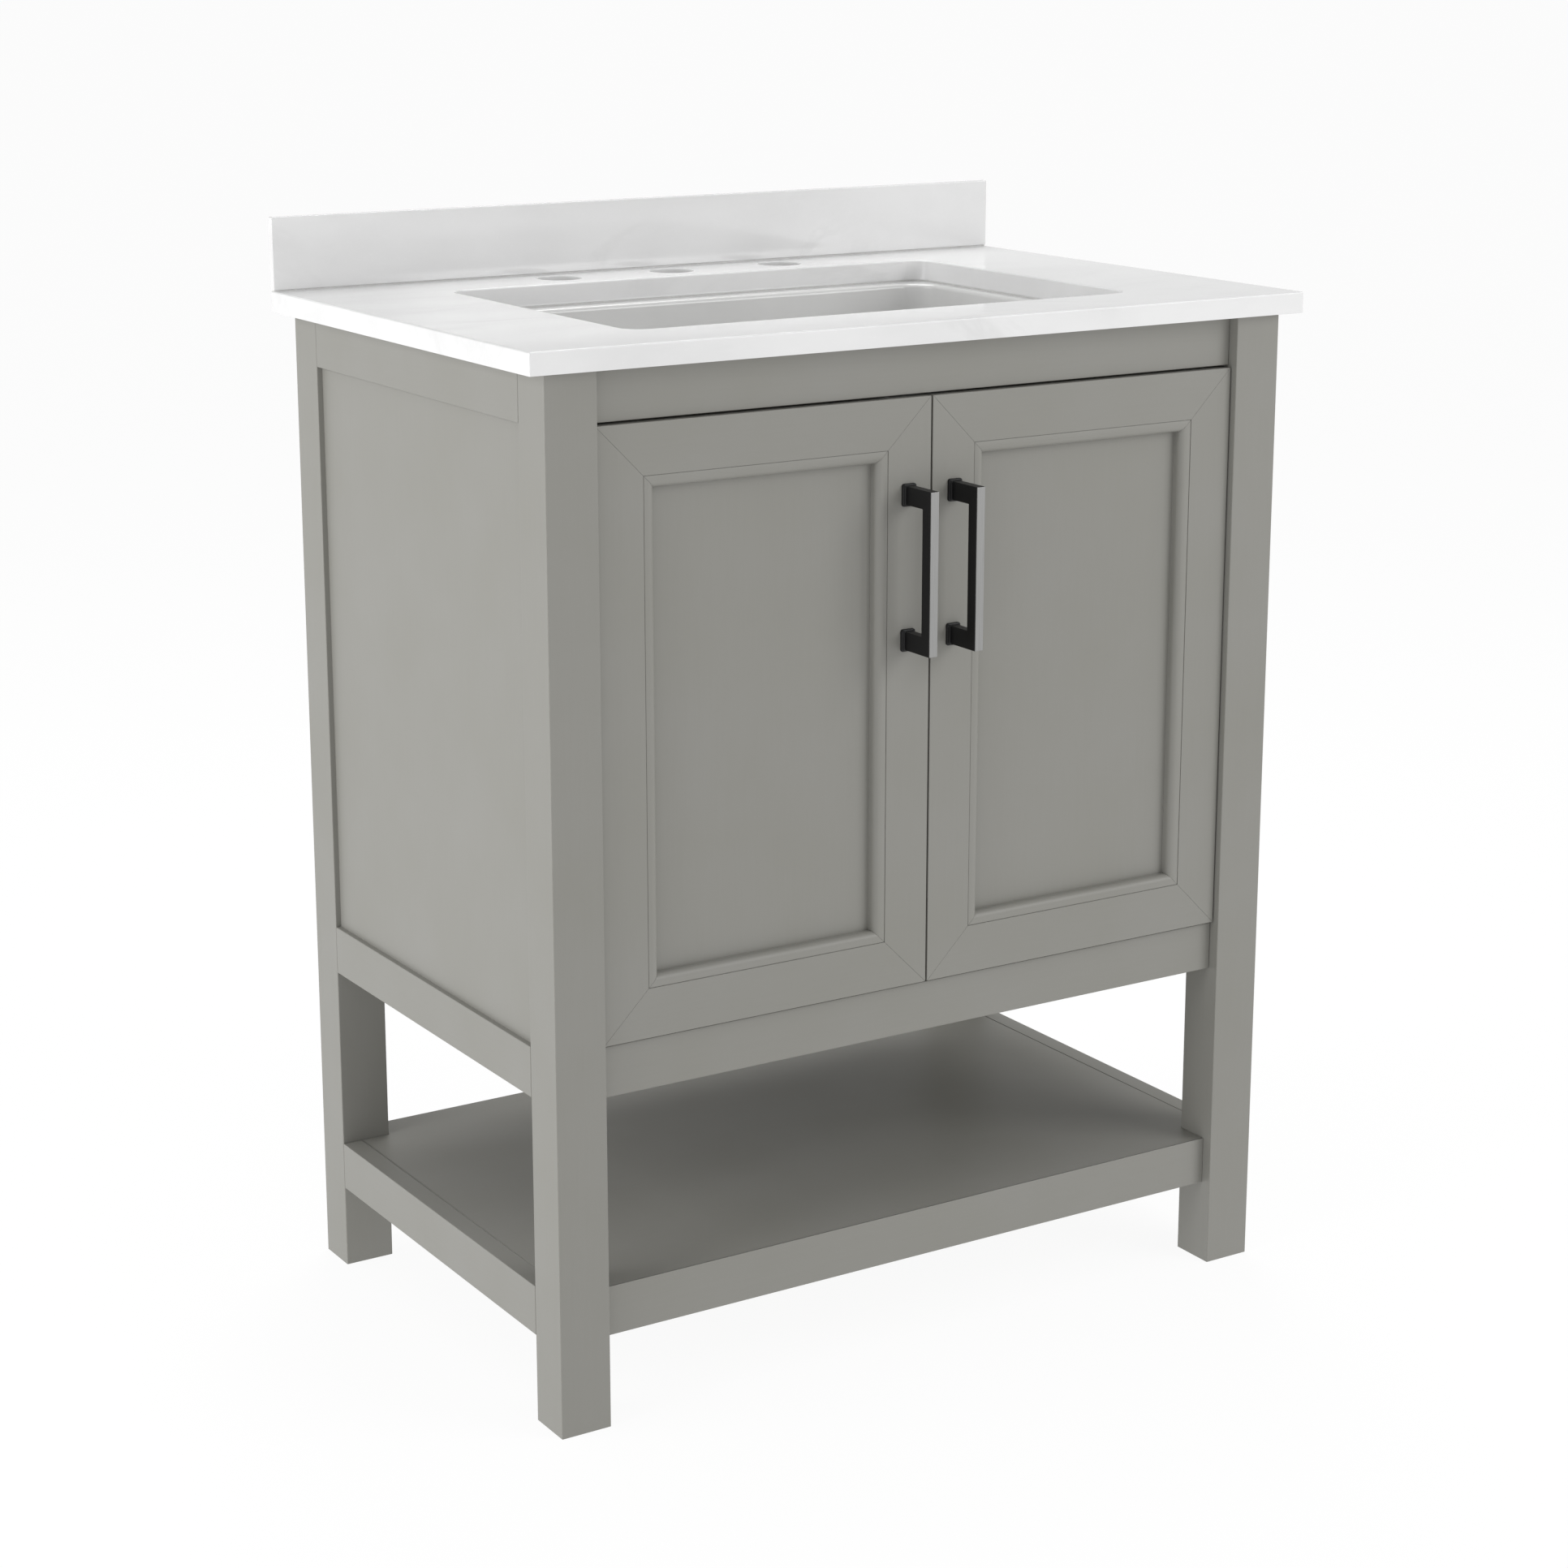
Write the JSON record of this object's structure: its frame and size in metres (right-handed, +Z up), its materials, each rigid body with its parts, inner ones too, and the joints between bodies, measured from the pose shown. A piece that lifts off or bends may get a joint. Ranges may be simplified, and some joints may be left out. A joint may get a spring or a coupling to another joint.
{
  "type": "bathroom vanity cabinet",
  "caption": "Free-standing vanity: framed cabinet with hinged doors over an open shelf, stone top with backsplash and undermount sink",
  "frame": {"origin": "on the floor, in the middle of the footprint of the stone top and pulls' box", "axes": "+Z up, front of the cabinet towards -Y, +X to the right seen from the front"},
  "size_m": [0.762, 0.5052, 0.9639],
  "materials": {
    "painted_wood": "warm grey satin lacquer on solid wood",
    "inner_wood": "the same grey lacquer, thinner, on the hidden boards",
    "stone_top": "polished white engineered stone with faint grey veins",
    "stone_backsplash": "polished white engineered stone",
    "sink": "white glazed vitreous china",
    "pull": "matt black powder coat",
    "pull_face": "satin strip",
    "hinges": "satin steel",
    "screws": "zinc plated",
    "fittings": "zinc plated sheet",
    "sealant": "cured silicone"
  },
  "bodies": {
    "root": {"backsplash": "stone_backsplash", "backsplash_seal": "sealant", "bottom_back_rail": "inner_wood", "bottom_front_rail": "painted_wood", "cabinet_floor": "inner_wood", "corner_blocks": "inner_wood", "countertop": "stone_top", "hinge_leg_half_left_lower": "hinges", "hinge_leg_half_left_upper": "hinges", "hinge_leg_half_right_lower": "hinges", "hinge_leg_half_right_upper": "hinges", "hinge_leg_screws": "screws", "leg_back_left": "painted_wood", "leg_back_right": "painted_wood", "leg_front_left": "painted_wood", "leg_front_right": "painted_wood", "magnetic_catch": "fittings", "shelf_back_rail": "painted_wood", "shelf_front_rail": "painted_wood", "shelf_panel": "painted_wood", "shelf_side_rail_left": "painted_wood", "shelf_side_rail_right": "painted_wood", "side_panel_left": "painted_wood", "side_panel_right": "painted_wood", "side_rail_lower_left": "painted_wood", "side_rail_lower_right": "painted_wood", "side_rail_upper_left": "painted_wood", "side_rail_upper_right": "painted_wood", "sink_bowl": "sink", "sink_clips": "fittings", "sink_seal": "sealant", "top_back_rail": "inner_wood", "top_front_rail": "painted_wood"},
    "door_left": {"door_left_bottom_rail": "painted_wood", "door_left_hinge_stile": "painted_wood", "door_left_meeting_stile": "painted_wood", "door_left_panel": "painted_wood", "door_left_top_rail": "painted_wood", "hinge_door_half_left_lower": "hinges", "hinge_door_half_left_upper": "hinges", "hinge_screws_left": "screws", "pull_face_left": "pull_face", "pull_left": "pull", "pull_screws_left": "screws", "strike_plate_left": "fittings"},
    "door_right": {"door_right_bottom_rail": "painted_wood", "door_right_hinge_stile": "painted_wood", "door_right_meeting_stile": "painted_wood", "door_right_panel": "painted_wood", "door_right_top_rail": "painted_wood", "hinge_door_half_right_lower": "hinges", "hinge_door_half_right_upper": "hinges", "hinge_screws_right": "screws", "pull_face_right": "pull_face", "pull_right": "pull", "pull_screws_right": "screws", "strike_plate_right": "fittings"},
    "links_left": {"hinge_links_left": "hinges"},
    "links_right": {"hinge_links_right": "hinges"}
  },
  "joints": [
    {"name": "door_left_swing", "type": "hinge", "parent": "root", "child": "door_left", "pos_m": [-0.31625, -0.2158, 0.5829], "axis": [0, 0, -1], "range_deg": [0, 105]},
    {"name": "door_right_swing", "type": "hinge", "parent": "root", "child": "door_right", "pos_m": [0.31625, -0.2158, 0.5829], "axis": [0, 0, 1], "range_deg": [0, 105]},
    {"name": "links_left_turn", "type": "hinge", "parent": "root", "child": "links_left", "pos_m": [-0.31625, -0.2158, 0.5829], "axis": [0, 0, -1], "range_deg": [0, 52.5]},
    {"name": "links_right_turn", "type": "hinge", "parent": "root", "child": "links_right", "pos_m": [0.31625, -0.2158, 0.5829], "axis": [0, 0, 1], "range_deg": [0, 52.5]}
  ],
  "couplings": [
    {"joint": "links_left_turn", "follows": "door_left_swing", "ratio": 0.5},
    {"joint": "links_right_turn", "follows": "door_right_swing", "ratio": 0.5}
  ]
}
